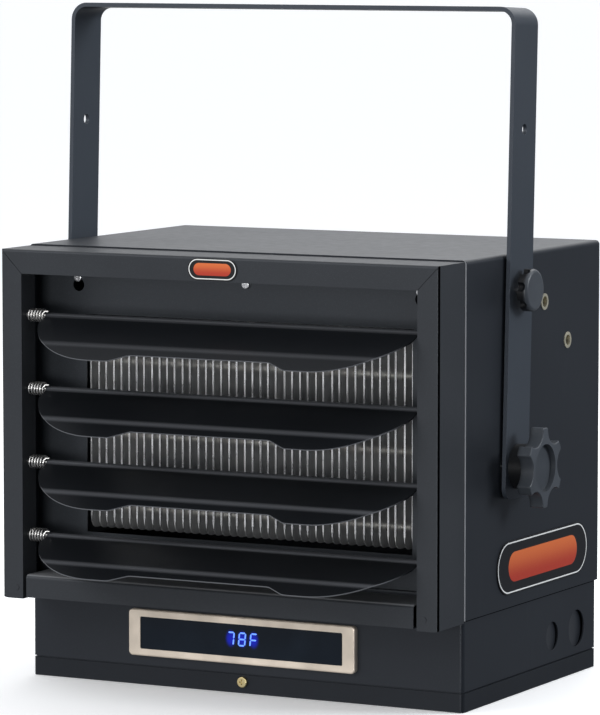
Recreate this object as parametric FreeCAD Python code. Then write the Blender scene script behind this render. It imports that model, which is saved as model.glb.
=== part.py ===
# Garage heater: a fan, finned elements and swinging louvres in a sheet-metal cabinet, with a
# control compartment below and a tilting bracket round it.
# Millimetres. +Z is up, the front faces -Y, and the origin is the centre of the tray's underside.
import FreeCAD
import Part
import math
import os

V = FreeCAD.Vector

# General sizes
sheet = 1.2
slip = 0.3
snug = 0.05
overrun = 5.0
tolerance = 0.001

# Front frame: an inverted U of folded channel, with a sill across its foot
frame_width = 370.0
frame_height = 267.0
frame_depth = 43.0
frame_lift = 66.0
frame_bar = 17.7
frame_top_bar = 18.3
frame_return = 20.0
frame_bend = 2.0
frame_chamfer_width = 4.0
frame_chamfer_height = 0.8
mitre_width = 0.5
mitre_depth = 0.5
sill_height = 17.5
sill_lift = 1.3
sill_end_gap = 2.7
sill_bend = 3.0
rivet_radius = 2.2
rivet_proud = 0.4
rivet_inset = 12.0
rivet_lift = 8.6
rivet_shank_radius = 1.4
rivet_length = 3.0

# Cabinet shell, deck and rear
shell_depth = 238.5
shell_lap = 0.8
shell_bend = 3.5
shell_lift = 2.5
shell_flange = 12.0
deck_rise = 20.0
rear_inset = 2.0
rear_corner = 4.0
inlet_margin = 18.9
guard_depth = 5.0
guard_bar = 2.6
guard_rings = 7
guard_spokes = 8
guard_hub_radius = 22.0
guard_overlap = 9.0
rear_screw_inset = 7.0
screw_head_radius = 4.0
screw_head_height = 2.2
screw_head_round = 0.9
screw_shank_radius = 1.9
screw_length = 7.0
cross_width = 1.1
cross_length = 4.2
cross_depth = 1.1

# Inner baffle in front of the elements
baffle_set = 6.4
baffle_flange = 12.0
window_margin = 45.7
window_rise = 47.5
window_drop = 51.5
baffle_hole_radius = 4.9
baffle_hole_outset = 6.7
baffle_hole_drop = 29.4
baffle_screw_drop = 23.8
baffle_screw_radius = 3.4

# Louvres: blades with a rolled edge that turn on fixed rods, each with a spring at its left end
louver_count = 4
louver_first_drop = 31.7
louver_last_rise = 49.0
louver_set = 8.0
louver_rest_angles = (66.6, 65.5, 67.2, 71.0)
louver_sheet = 1.0
louver_right_gap = 1.8
louver_end_straight = 13.0
louver_length = 60.3
louver_corner = 70.4
louver_bend_at = 43.0
louver_bend_angle = 8.7
lobe_flat = 17.25
notch_run = 15.0
notch_height = 8.2
notch_round = 9.0
rod_radius = 1.25
rod_past = 2.0
roll_wall = 1.0
spring_space = 17.8
spring_wire = 1.2
spring_coil_radius = 4.0
spring_turns = 5
spring_end_bend = 1.7
spring_leg = 3.0
spring_start_angle = 75.0

# Finned heating elements
element_count = 3
element_foot_margin = 16.0
element_head_margin = 35.0
tube_radius = 5.0
tube_front_set = 14.0
tube_spacing = 22.0
tube_tail = 12.0
fin_count = 42
fin_side_gap = 1.6
fin_sheet = 0.7
fin_depth = 46.0
fin_gap = 2.0
fin_below_gap = 2.5
fin_above_gap = 1.5
fin_corner = 8.0
end_plate_clear = 4.0
end_plate_margin = 5.0
end_plate_foot = 12.0
insulator_radius = 7.0
insulator_length = 8.0
pin_radius = 2.0
pin_length = 18.0
cutout_radius = 8.0
cutout_length = 9.0
cutout_tab = 5.0
cutout_tab_sheet = 0.8
cutout_tab_length = 8.0

# Fan, motor and shroud
fan_inlet_step = 6.0
fan_tip_gap = 4.0
fan_blades = 5
fan_blade_angle = 30.0
fan_blade_sheet = 1.6
fan_blade_sweep = 50.0
fan_hub_radius = 24.0
fan_hub_length = 26.0
fan_nut_across = 13.0
fan_nut_height = 6.0
shaft_radius = 4.0
shaft_in_motor = 40.0
shaft_past_nut = 3.0
fan_to_motor = 10.0
motor_radius = 43.0
motor_length = 62.0
motor_round = 6.0
motor_boss_radius = 14.0
motor_boss_length = 5.0
mount_bar = 18.0
mount_sheet = 2.0
mount_lap = 6.0
mount_disc_radius = 32.0
shroud_collar = 36.0
shroud_inset = 0.6
shroud_corner = 4.0

# Base box, tray and what the control compartment holds
tray_height = 14.0
tray_gap = 1.2
base_bend = 3.0
tray_screw_rise = 8.6
tray_screw_radius = 4.2
bezel_side_rim = 10.35
bezel_top_rim = 5.6
bezel_depth = 4.5
bezel_corner = 3.5
bezel_edge = 1.4
bezel_sleeve_wall = 2.0
bezel_sleeve_depth = 7.0
window_plate_width = 173.3
window_plate_height = 24.8
window_plate_depth = 2.0
window_recess = 0.8
window_corner = 1.2
module_width = 60.0
module_height = 18.0
board_sheet = 1.6
display_board_margin = 5.0
knockout_small_radius = 11.1
knockout_large_radius = 14.3
knockout_lap = 0.3
knockout_seat = 0.2
knockout_angle = 5.0
knockout_rise = 35.0
knockout_large_inset = 36.3
knockout_pitch = 44.8
control_width = 150.0
control_depth = 90.0
control_left = 120.0
control_back = 40.0
standoff_height = 10.0
standoff_radius = 3.0
standoff_inset = 6.0
transformer_width = 34.0
transformer_depth = 30.0
transformer_height = 24.0
transformer_inset = 12.0
relay_count = 3
relay_width = 16.0
relay_depth = 28.0
relay_height = 16.0
relay_pitch = 22.0
terminal_width = 30.0
terminal_depth = 64.0
terminal_height = 22.0
terminal_inset = 45.0
terminal_back = 150.0
terminal_slot = 8.0
terminal_slot_depth = 9.0
terminal_slot_count = 4
earth_screw_gap = 20.0

# Bracket, knobs and inserts
pivot_back = 79.4
pivot_rise = 109.0
bracket_gap = 1.5
bracket_sheet = 3.2
bracket_bar = 40.0
bracket_above = 342.0
bracket_below = 24.0
bracket_bend = 13.0
bracket_corner = 9.0
arm_hole_radius = 4.0
arm_hole_above = 251.5
ceiling_hole_radius = 4.5
ceiling_hole_spacing = 220.0
lock_edge_margin = 26.0
lock_first_angle = 2.3
lock_step_angle = 23.4
lock_count = 3
insert_rim = 0.5
insert_length = 9.0
insert_clear = 1.0
lock_insert_radius = 6.3
lock_barrel_radius = 5.2
lock_stud_radius = 4.0
pivot_insert_radius = 7.0
pivot_barrel_radius = 5.6
pivot_stud_radius = 4.0
washer_radius = 13.0
washer_sheet = 1.1
star_points = 6
star_radius = 30.0
star_tip = 8.0
star_tip_round = 1.2
star_neck_radius = 21.0
star_head = 11.0
star_round = 0.7
star_hub_radius = 17.0
star_hub = 12.0
star_recess_radius = 17.8
star_recess = 4.0
stud_seat = 6.0
lock_travel = 3.5
lock_radius = 15.9
lock_thick = 8.2
lock_round = 2.8
lock_flutes = 7
lock_flute_radius = 3.6
lock_flute_depth = 3.1
lock_flute_length = 3.0

# Badges
front_badge_width = 41.4
front_badge_height = 16.4
front_badge_shift = -1.7
side_badge_width = 163.0
side_badge_height = 40.5
side_badge_inset = 21.7
side_badge_rise = 32.4
badge_sheet = 0.8
badge_corner_share = 0.49

# Planes and places that follow from the sizes above
frame_half = frame_width / 2
open_half = frame_half - frame_bar
shell_half = frame_half + shell_lap
shell_inner = shell_half - sheet
base_half = shell_inner - slip
front_y = -shell_depth / 2
back_y = shell_depth / 2
frame_y = front_y - frame_depth
frame_top = frame_lift + frame_height
shell_top = frame_top + sheet
open_top = frame_top - frame_top_bar
deck_z = frame_lift + deck_rise
deck_top = deck_z + sheet
baffle_y = front_y + baffle_set
baffle_back = baffle_y + sheet
rod_y = frame_y + louver_set
rod_low = frame_lift + louver_last_rise
rod_high = open_top - louver_first_drop
louver_pitch = (rod_high - rod_low) / (louver_count - 1)
rod_heights = [rod_high - k * louver_pitch for k in range(louver_count)]
roll_bore = rod_radius + snug
roll_radius = roll_bore + roll_wall
louver_left = -open_half + spring_space
louver_right = open_half - louver_right_gap
louver_mid = (louver_left + louver_right) / 2
louver_half = (louver_right - louver_left) / 2
pivot_y = front_y + pivot_back
pivot_z = frame_lift + pivot_rise
bracket_inner = shell_half + bracket_gap
bracket_outer = bracket_inner + bracket_sheet
lock_ring_radius = frame_top - pivot_z - lock_edge_margin
fan_z = (deck_top + frame_top) / 2
inlet_radius = (frame_top - deck_top) / 2 - inlet_margin
fan_radius = inlet_radius - fan_inlet_step
window_half = frame_half - window_margin
window_foot = frame_lift + window_rise
window_head = frame_top - window_drop
baffle_hole_x = window_half + baffle_hole_outset
fin_foot = window_foot + fin_below_gap
fin_head = window_head - fin_above_gap
fin_pitch = 2 * (window_half - fin_side_gap - fin_sheet / 2) / (fin_count - 1)
element_pitch = (fin_head - fin_foot - element_foot_margin - element_head_margin) / (element_count - 1)
base_z = tray_height + tray_gap
bezel_z = (base_z + frame_lift) / 2
knockout_large_y = back_y - knockout_large_inset
knockout_small_y = knockout_large_y - knockout_pitch


# Shape helpers

def block(x0, x1, y0, y1, z0, z1):
    return Part.makeBox(x1 - x0, y1 - y0, z1 - z0, V(x0, y0, z0))


def along_x(x0, x1, y, z, radius):
    return Part.makeCylinder(radius, x1 - x0, V(x0, y, z), V(1, 0, 0))


def along_y(y0, y1, x, z, radius):
    return Part.makeCylinder(radius, y1 - y0, V(x, y0, z), V(0, 1, 0))


def along_z(z0, z1, x, y, radius):
    return Part.makeCylinder(radius, z1 - z0, V(x, y, z0), V(0, 0, 1))


def runs(edge, axis):
    """True for a straight edge parallel to the unit vector axis."""
    if not isinstance(edge.Curve, Part.Line):
        return False
    span = edge.Vertexes[-1].Point - edge.Vertexes[0].Point
    return span.cross(axis).Length < tolerance


def rounded(shape, radius, picks):
    """Fillet the edges that picks(edge) chooses."""
    return shape.makeFillet(radius, [edge for edge in shape.Edges if picks(edge)])


def rounded_block(x0, x1, y0, y1, z0, z1, radius, axis):
    """Box whose four edges along axis are round."""
    return rounded(block(x0, x1, y0, y1, z0, z1), radius, lambda edge: runs(edge, axis))


def prism_y(points, y0, y1):
    """Polygon of (x, z) points pushed from y0 to y1."""
    corners = [V(x, y0, z) for x, z in points]
    return Part.Face(Part.makePolygon(corners + corners[:1])).extrude(V(0, y1 - y0, 0))


def mirrored(shape):
    return shape.mirror(V(0, 0, 0), V(1, 0, 0))


def turned_x(shape, y, z, degrees):
    copy = shape.copy()
    copy.rotate(V(0, y, z), V(1, 0, 0), degrees)
    return copy


def corner_arc(start, corner, end):
    """Arc that leaves start towards corner and reaches end from corner, both at the same distance."""
    middle = (start + end) / 2
    weight = (start - middle).Length / (start - corner).Length
    return Part.Arc(start, (middle + corner * weight) / (1 + weight), end).toShape()


def screw(head_radius, tip):
    """Cross-recess pan screw standing on the XY plane: head above it, shank down to tip below."""
    head = Part.makeCylinder(head_radius, screw_head_height)
    head = rounded(head, screw_head_round, lambda edge: edge.CenterOfMass.z > screw_head_height / 2
                   and isinstance(edge.Curve, Part.Circle))
    reach = cross_length / 2
    top = screw_head_height
    for across in (V(1, 0, 0), V(0, 1, 0)):
        half_x = reach if across.x else cross_width / 2
        half_y = reach if across.y else cross_width / 2
        head = head.cut(block(-half_x, half_x, -half_y, half_y, top - cross_depth, top + overrun))
    return head.fuse(Part.makeCylinder(screw_shank_radius, tip, V(0, 0, -tip)))


def facing(shape, direction, x, y, z):
    """Shape drawn along +Z, turned to point along direction and put at x, y, z."""
    copy = shape.copy()
    copy.Placement = FreeCAD.Placement(V(x, y, z), FreeCAD.Rotation(V(0, 0, 1), direction))
    return copy


# Cabinet shell, deck and rear

def lock_place(k):
    angle = math.radians(lock_first_angle + k * lock_step_angle)
    return pivot_y + lock_ring_radius * math.sin(angle), pivot_z + lock_ring_radius * math.cos(angle)


def shell_bores(radius_of_pivot, radius_of_lock):
    """Bores through both sides at the pivot and at each lock position."""
    reach = shell_half + overrun
    bores = [along_x(-reach, reach, pivot_y, pivot_z, radius_of_pivot)]
    for k in range(lock_count):
        y, z = lock_place(k)
        bores.append(along_x(-reach, reach, y, z, radius_of_lock))
    return bores


def rear_screw_places():
    x = shell_inner - rear_screw_inset
    low = deck_top + rear_screw_inset
    high = frame_top - rear_screw_inset
    return [(-x, low), (x, low), (-x, high), (x, high)]


def cabinet_shell():
    z0 = frame_lift + shell_lift
    lengthwise = V(0, 1, 0)
    outer = rounded(block(-shell_half, shell_half, front_y, back_y, z0, shell_top), shell_bend,
                    lambda edge: runs(edge, lengthwise) and edge.CenterOfMass.z > frame_top)
    inner = rounded(block(-shell_inner, shell_inner, front_y - overrun, back_y - sheet, z0 - overrun,
                          frame_top), shell_bend - sheet,
                    lambda edge: runs(edge, lengthwise) and edge.CenterOfMass.z > frame_top - sheet)
    mouth = block(-shell_inner + shell_flange, shell_inner - shell_flange, back_y - sheet - overrun,
                  back_y + overrun, z0 - overrun, frame_top - shell_flange)
    below_deck = block(-shell_inner, shell_inner, back_y - sheet - overrun, back_y + overrun,
                       z0 - overrun, deck_top)
    shell = outer.cut([inner, mouth, below_deck])
    shell = shell.cut(shell_bores(pivot_barrel_radius + snug, lock_barrel_radius + snug))
    return shell.cut([along_y(back_y - sheet - overrun, back_y + overrun, x, z, screw_shank_radius + snug)
                      for x, z in rear_screw_places()])


def deck():
    return block(-base_half, base_half, front_y, back_y, deck_z, deck_top)


def rear_panel():
    half = shell_half - rear_inset
    panel = rounded_block(-half, half, back_y, back_y + sheet, deck_top, shell_top - rear_inset,
                          rear_corner, V(0, 1, 0))
    panel = panel.cut(along_y(back_y - overrun, back_y + overrun, 0, fan_z, inlet_radius))
    return panel.cut([along_y(back_y - overrun, back_y + overrun, x, z, screw_shank_radius + snug)
                      for x, z in rear_screw_places()])


def rear_guard():
    """Flat round guard: a hub disc, rings and spokes, standing on the rear panel round the inlet."""
    y0 = back_y + sheet
    y1 = y0 + guard_depth
    outer = inlet_radius + guard_overlap
    step = (outer - guard_hub_radius) / guard_rings
    guard = along_y(y0, y1, 0, fan_z, guard_hub_radius)
    rings = []
    for k in range(1, guard_rings + 1):
        radius = guard_hub_radius + k * step
        rings.append(along_y(y0, y1, 0, fan_z, radius).cut(
            along_y(y0 - overrun, y1 + overrun, 0, fan_z, radius - guard_bar)))
    for k in range(guard_spokes):
        spoke = block(0, outer - guard_bar / 2, y0, y1, fan_z - guard_bar / 2, fan_z + guard_bar / 2)
        spoke.rotate(V(0, 0, fan_z), V(0, 1, 0), k * 360 / guard_spokes)
        rings.append(spoke)
    return guard.fuse(rings).removeSplitter()


def rear_screws():
    y = back_y + sheet
    return [facing(screw(screw_head_radius, screw_length), V(0, 1, 0), x, y, z) for x, z in rear_screw_places()]


# Front frame

def rivet_places():
    x = frame_half - rivet_inset
    z = frame_lift + rivet_lift
    return [(-x, z), (x, z)]


def front_frame():
    far = front_y + overrun
    low = frame_lift - overrun
    outer = rounded(block(-frame_half, frame_half, frame_y, front_y, frame_lift, frame_top), frame_bend,
                    lambda edge: edge.CenterOfMass.y < frame_y + tolerance
                    and edge.CenterOfMass.z > frame_lift + tolerance)
    opening = block(-open_half, open_half, frame_y - overrun, far, low, open_top)
    wall = frame_half - sheet
    lip = open_half + sheet
    cavity = block(-wall, wall, frame_y + sheet, far, frame_lift + sheet, frame_top - sheet).cut(
        block(-lip, lip, frame_y - overrun, far, low, open_top + sheet))
    behind_returns = block(-lip, lip, frame_y + frame_return, far, low, open_top + sheet)
    frame = outer.cut([opening, cavity, behind_returns])
    for side in (-1, 1):
        foot = prism_y([(side * frame_half, frame_lift), (side * (frame_half - frame_chamfer_width), frame_lift),
                        (side * frame_half, frame_lift + frame_chamfer_height)], frame_y - overrun, far)
        along = V(side * frame_bar, 0, frame_top_bar).normalize()
        edge = V(along.z, 0, -along.x) * (mitre_width / 2)
        inner = V(side * open_half, 0, open_top) - along * mitre_width
        corner = V(side * frame_half, 0, frame_top) + along * mitre_width
        groove = prism_y([((inner + edge).x, (inner + edge).z), ((corner + edge).x, (corner + edge).z),
                          ((corner - edge).x, (corner - edge).z), ((inner - edge).x, (inner - edge).z)],
                         frame_y - overrun, frame_y + mitre_depth)
        frame = frame.cut([foot, groove])
    through = open_half + sheet + rod_past
    frame = frame.cut([along_x(-through, through, rod_y, z, rod_radius + snug) for z in rod_heights])
    return frame.cut([along_y(frame_y - overrun, frame_y + overrun, x, z, rivet_shank_radius + snug)
                      for x, z in rivet_places()])


def frame_sill():
    half = open_half - sill_end_gap
    z0 = frame_lift + sill_lift
    z1 = z0 + sill_height
    sill = rounded(block(-half, half, frame_y, front_y, z0, z1), sill_bend,
                   lambda edge: runs(edge, V(1, 0, 0)) and edge.CenterOfMass.z > z1 - tolerance
                   and edge.CenterOfMass.y < frame_y + tolerance)
    inside = rounded(block(-half - overrun, half + overrun, frame_y + sheet, front_y + overrun,
                           z0 + sheet, z1 - sheet), sill_bend - sheet,
                     lambda edge: runs(edge, V(1, 0, 0)) and edge.CenterOfMass.z > z1 - sheet - tolerance
                     and edge.CenterOfMass.y < frame_y + sheet + tolerance)
    return sill.cut(inside)


def frame_rivets():
    rivets = []
    for x, z in rivet_places():
        head = along_y(frame_y - rivet_proud, frame_y, x, z, rivet_radius)
        rivets.append(head.fuse(along_y(frame_y, frame_y + rivet_length, x, z, rivet_shank_radius)))
    return rivets


def plate_badge(width, height):
    """Rounded plate lying on the XY plane, centred, long side along X."""
    return rounded_block(-width / 2, width / 2, -height / 2, height / 2, 0, badge_sheet,
                         height * badge_corner_share, V(0, 0, 1))


def badge_front():
    badge = plate_badge(front_badge_width, front_badge_height)
    badge.rotate(V(0, 0, 0), V(1, 0, 0), 90)
    badge.translate(V(front_badge_shift, frame_y, (open_top + frame_top) / 2))
    return badge


def badge_side():
    badge = plate_badge(side_badge_width, side_badge_height)
    badge.rotate(V(0, 0, 0), V(0, 0, 1), 90)
    badge.rotate(V(0, 0, 0), V(0, 1, 0), 90)
    badge.translate(V(shell_half, back_y - side_badge_inset - side_badge_width / 2, frame_lift + side_badge_rise))
    return badge


# Inner baffle

def baffle_screw_places():
    return [(x, frame_top - baffle_screw_drop) for x in (-baffle_hole_x, 0, baffle_hole_x)]


def inner_baffle():
    wall = frame_half - sheet
    front = front_y - baffle_flange
    head = frame_top - sheet
    body = block(-wall, wall, front, baffle_back, deck_top, head)
    hollow = block(-wall + sheet, wall - sheet, front - overrun, baffle_y, deck_top - overrun, head - sheet)
    window = block(-window_half, window_half, front, baffle_back + overrun, window_foot, window_head)
    holes = [along_y(front, baffle_back + overrun, side * baffle_hole_x, frame_top - baffle_hole_drop,
                     baffle_hole_radius) for side in (-1, 1)]
    shanks = [along_y(front, baffle_back + overrun, x, z, screw_shank_radius + snug)
              for x, z in baffle_screw_places()]
    return body.cut([hollow, window] + holes + shanks)


def baffle_screws():
    return [facing(screw(baffle_screw_radius, screw_length), V(0, -1, 0), x, baffle_y, z)
            for x, z in baffle_screw_places()]


# Louvres

def blade_outline():
    """Half-turned outline of a blade in the XZ plane: rod axis along X at the origin, hanging down."""
    half = louver_half
    tip = -louver_length
    arc_z = tip + louver_corner
    drop = -louver_end_straight - arc_z
    arc_x = half - math.sqrt(louver_corner ** 2 - drop ** 2)
    spread = math.acos(-drop / louver_corner)
    mid = V(arc_x + louver_corner * math.sin(spread / 2), 0, arc_z - louver_corner * math.cos(spread / 2))
    low = arc_x - lobe_flat
    high = low - notch_run
    step = tip + notch_height
    right = [V(half, 0, 0), V(half, 0, -louver_end_straight), V(arc_x, 0, tip), V(low, 0, tip), V(high, 0, step)]
    left = [V(-p.x, 0, p.z) for p in right]

    def line(a, b):
        return Part.LineSegment(a, b).toShape()

    edges = [line(left[0], right[0]), line(right[0], right[1]), Part.Arc(right[1], mid, right[2]).toShape(),
             line(right[2], right[3]), line(right[3], right[4]), line(right[4], left[4]),
             line(left[4], left[3]), line(left[3], left[2]),
             Part.Arc(left[2], V(-mid.x, 0, mid.z), left[1]).toShape(), line(left[1], left[0])]
    return Part.Wire(edges)


def hanging_louver():
    """Blade with its rolled edge and bend, hanging from a rod axis along X through the origin."""
    blade = Part.Face(blade_outline()).extrude(V(0, louver_sheet, 0))
    blade.translate(V(0, -louver_sheet / 2, 0))
    arc_z = louver_corner - louver_length
    arc_x = louver_half - math.sqrt(louver_corner ** 2 - (louver_end_straight + arc_z) ** 2)
    corner_x = (arc_x - lobe_flat, arc_x - lobe_flat - notch_run)
    blade = rounded(blade, notch_round, lambda edge: runs(edge, V(0, 1, 0))
                    and min(abs(abs(edge.CenterOfMass.x) - x) for x in corner_x) < tolerance)
    reach = louver_half + overrun
    bend_z = -louver_bend_at
    below = block(-reach, reach, -reach, reach, bend_z - reach, bend_z)
    lip = turned_x(blade.common(below), 0, bend_z, louver_bend_angle)
    bend_half = arc_x + math.sqrt(louver_corner ** 2 - (louver_bend_at + arc_z) ** 2)
    knuckle = along_x(-bend_half, bend_half, 0, bend_z, louver_sheet / 2)
    roll = along_x(-louver_half, louver_half, 0, 0, roll_radius)
    louver = blade.cut(below).fuse([lip, knuckle, roll])
    return louver.cut(along_x(-reach, reach, 0, 0, roll_bore))


def louver(k):
    blade = turned_x(hanging_louver(), 0, 0, -louver_rest_angles[k])
    blade.translate(V(louver_mid, rod_y, rod_heights[k]))
    return blade


def louver_rods():
    reach = open_half + sheet + rod_past
    return [along_x(-reach, reach, rod_y, z, rod_radius) for z in rod_heights]


def helix_point(angle, pitch):
    return V(pitch * angle / math.tau, spring_coil_radius * math.sin(angle), spring_coil_radius * math.cos(angle))


def helix_tangent(angle, pitch):
    return V(pitch / math.tau, spring_coil_radius * math.cos(angle),
             -spring_coil_radius * math.sin(angle)).normalize()


def biarc(p0, t0, p1, t1):
    """Two arcs from p0 to p1 that start along t0 and end along t1."""
    span = p1 - p0
    both = t0 + t1
    a = 2 * t0.dot(t1) - 2
    b = span.dot(both)
    reach = (b - math.sqrt(b ** 2 - a * span.dot(span))) / a
    q0 = p0 + t0 * reach
    q1 = p1 - t1 * reach
    joint = (q0 + q1) / 2
    return [corner_arc(p0, q0, joint), corner_arc(joint, q1, p1)]


def spring_path():
    """Wire's centre line: a leg along +X from the wall, the turns, and a leg along +X past the blade's end."""
    axis = V(1, 0, 0)
    turns_length = spring_space - 2 * spring_end_bend - 2 * spring_wire
    pitch = turns_length / spring_turns
    start = math.radians(spring_start_angle)
    quarter = math.pi / 2
    stops = [start + k * quarter for k in range(4 * spring_turns + 1)]
    points = [helix_point(a, pitch) for a in stops]
    tangents = [helix_tangent(a, pitch) for a in stops]

    def bend_reach(direction):
        return spring_end_bend * math.tan(axis.getAngle(direction) / 2)

    first = bend_reach(tangents[0])
    corner = points[0] - tangents[0] * first
    bend_start = corner - axis * first
    edges = [Part.LineSegment(bend_start - axis * spring_wire, bend_start).toShape(),
             corner_arc(bend_start, corner, points[0])]
    for k in range(len(stops) - 1):
        edges += biarc(points[k], tangents[k], points[k + 1], tangents[k + 1])
    last = bend_reach(tangents[-1])
    corner = points[-1] + tangents[-1] * last
    bend_end = corner + axis * last
    edges += [corner_arc(points[-1], corner, bend_end),
              Part.LineSegment(bend_end, bend_end + axis * spring_leg).toShape()]
    path = Part.Wire(edges)
    path.translate(V(-open_half, rod_y, 0) - V(edges[0].Vertexes[0].X, 0, 0))
    return path


def least_self_gap(path, wire):
    """Smallest clear distance between turns, measured on points along the path."""
    points = path.discretize(Number=900)
    spacing = path.Length / (len(points) - 1)
    skip = int(math.pi * spring_coil_radius / spacing)
    gaps = [(points[j] - points[i]).Length for i in range(len(points)) for j in range(i + skip, len(points))]
    return min(gaps) - wire


def louver_spring(k):
    path = spring_path()
    start = path.OrderedVertexes[0].Point
    ring = Part.Wire(Part.makeCircle(spring_wire / 2, start, V(1, 0, 0)))
    spring = path.makePipeShell([ring], True, False)
    spring.translate(V(0, 0, rod_heights[k]))
    return spring


# Finned elements

def element_heights():
    return [fin_foot + element_foot_margin + k * element_pitch for k in range(element_count)]


def fin_front():
    return baffle_back + fin_gap


def leg_places():
    y = fin_front() + tube_front_set
    return [y, y + tube_spacing]


def plate_x():
    """Inner face of the end plates."""
    return (fin_count - 1) * fin_pitch / 2 + fin_sheet / 2 + end_plate_clear


def tube_end():
    return plate_x() + sheet + tube_tail


def heating_element(z):
    """Hairpin sheath with its bend on the left and a terminal pin at each right end."""
    y0, y1 = leg_places()
    right = tube_end()
    left = -plate_x() - sheet - tube_tail
    mid_y = (y0 + y1) / 2
    radius = (y1 - y0) / 2
    path = Part.Wire([Part.LineSegment(V(right, y0, z), V(left, y0, z)).toShape(),
                      Part.Arc(V(left, y0, z), V(left - radius, mid_y, z), V(left, y1, z)).toShape(),
                      Part.LineSegment(V(left, y1, z), V(right, y1, z)).toShape()])
    ring = Part.Wire(Part.makeCircle(tube_radius, V(right, y0, z), V(1, 0, 0)))
    pins = [along_x(right, right + pin_length, y, z, pin_radius) for y in (y0, y1)]
    return [path.makePipeShell([ring], True, False)] + pins


def element_insulators():
    bushes = []
    for z in element_heights():
        for y in leg_places():
            bush = along_x(tube_end(), tube_end() + insulator_length, y, z, insulator_radius)
            bushes.append(bush.cut(along_x(tube_end() - overrun, tube_end() + insulator_length + overrun,
                                           y, z, pin_radius + snug)))
    return bushes


def tube_bores(x0, x1):
    return [along_x(x0 - overrun, x1 + overrun, y, z, tube_radius + snug)
            for z in element_heights() for y in leg_places()]


def element_fins():
    fins = []
    first = -(fin_count - 1) * fin_pitch / 2 - fin_sheet / 2
    y0 = fin_front()
    plate = rounded_block(first, first + fin_sheet, y0, y0 + fin_depth, fin_foot, fin_head, fin_corner,
                          V(1, 0, 0))
    plate = plate.cut(tube_bores(first, first + fin_sheet))
    for k in range(fin_count):
        fin = plate.copy()
        fin.translate(V(k * fin_pitch, 0, 0))
        fins.append(fin)
    return fins


def element_end_plate():
    """Right-hand plate, with a foot that lies on the baffle."""
    x0 = plate_x()
    z0 = fin_foot - end_plate_margin
    z1 = fin_head + end_plate_margin
    plate = block(x0, x0 + sheet, baffle_back, fin_front() + fin_depth + end_plate_margin, z0, z1)
    foot = block(x0, x0 + end_plate_foot, baffle_back, baffle_back + sheet, z0, z1)
    return plate.fuse(foot).removeSplitter().cut(tube_bores(x0, x0 + sheet))


def limit_switch():
    """Over-heat cut-out: a round body with two tabs, standing on the right-hand end plate."""
    x0 = plate_x() + sheet
    y = sum(leg_places()) / 2
    z = element_heights()[-1] - element_pitch / 2
    body = along_x(x0, x0 + cutout_length, y, z, cutout_radius)
    for side in (-1, 1):
        tab_y = y + side * cutout_tab
        body = body.fuse(block(x0 + cutout_length, x0 + cutout_length + cutout_tab_length, tab_y,
                               tab_y + cutout_tab_sheet, z - cutout_tab / 2, z + cutout_tab / 2))
    return body


# Fan and motor, from the rear panel forwards

def motor_back():
    return back_y - mount_sheet


def motor_front():
    return motor_back() - motor_length


def hub_back():
    return motor_front() - motor_boss_length - fan_to_motor


def hub_front():
    return hub_back() - fan_hub_length


def motor_mount():
    reach = inlet_radius + mount_lap
    half = mount_bar / 2
    flat = block(-reach, reach, motor_back(), back_y, fan_z - half, fan_z + half)
    upright = block(-half, half, motor_back(), back_y, fan_z - reach, fan_z + reach)
    return flat.fuse([upright, along_y(motor_back(), back_y, 0, fan_z, mount_disc_radius)]).removeSplitter()


def fan_motor():
    body = rounded(along_y(motor_front(), motor_back(), 0, fan_z, motor_radius), motor_round,
                   lambda edge: isinstance(edge.Curve, Part.Circle))
    boss = along_y(motor_front() - motor_boss_length, motor_front() + motor_round, 0, fan_z, motor_boss_radius)
    bore = along_y(motor_front() - motor_boss_length - overrun, motor_front() + shaft_in_motor, 0, fan_z,
                   shaft_radius + snug)
    return body.fuse(boss).cut(bore)


def motor_shaft():
    return along_y(hub_front() - fan_nut_height - shaft_past_nut, motor_front() + shaft_in_motor - slip, 0, fan_z,
                   shaft_radius)


def fan_blade():
    """Pressed fan: a hub and pitched blades cut to a round tip."""
    hub = along_y(hub_front(), hub_back(), 0, fan_z, fan_hub_radius)
    mid_y = (hub_front() + hub_back()) / 2
    root = fan_hub_radius / 2
    blades = []
    for k in range(fan_blades):
        blade = block(root, fan_radius + overrun, mid_y - fan_blade_sheet / 2, mid_y + fan_blade_sheet / 2,
                      fan_z - fan_blade_sweep / 2, fan_z + fan_blade_sweep / 2)
        blade.rotate(V(0, mid_y, fan_z), V(1, 0, 0), fan_blade_angle)
        blade.rotate(V(0, mid_y, fan_z), V(0, 1, 0), k * 360 / fan_blades)
        blades.append(blade)
    reach = fan_blade_sweep
    tip = along_y(mid_y - reach, mid_y + reach, 0, fan_z, fan_radius)
    fan = hub.fuse(blades).common(tip)
    return fan.cut(along_y(mid_y - reach, mid_y + reach, 0, fan_z, shaft_radius + snug))


def fan_nut():
    radius = fan_nut_across / math.sqrt(3)
    corners = [(radius * math.cos(math.radians(60 * k)), fan_z + radius * math.sin(math.radians(60 * k)))
               for k in range(6)]
    nut = prism_y(corners, hub_front() - fan_nut_height, hub_front())
    return nut.cut(along_y(hub_front() - fan_nut_height - overrun, hub_front() + overrun, 0, fan_z,
                           shaft_radius + snug))


def fan_shroud():
    """Partition with a round collar that the fan turns in."""
    half = shell_inner - shroud_inset
    bore = fan_radius + fan_tip_gap
    y1 = (hub_front() + hub_back()) / 2
    y0 = y1 - shroud_collar / 2
    plate = rounded_block(-half, half, y0, y0 + sheet, deck_top, frame_top - shroud_inset, shroud_corner,
                          V(0, 1, 0)).cut(insert_spaces())
    collar = along_y(y0, y0 + shroud_collar, 0, fan_z, bore + sheet)
    return plate.fuse(collar).cut(along_y(y0 - overrun, y0 + shroud_collar + overrun, 0, fan_z, bore))


# Base box, tray and display

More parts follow.
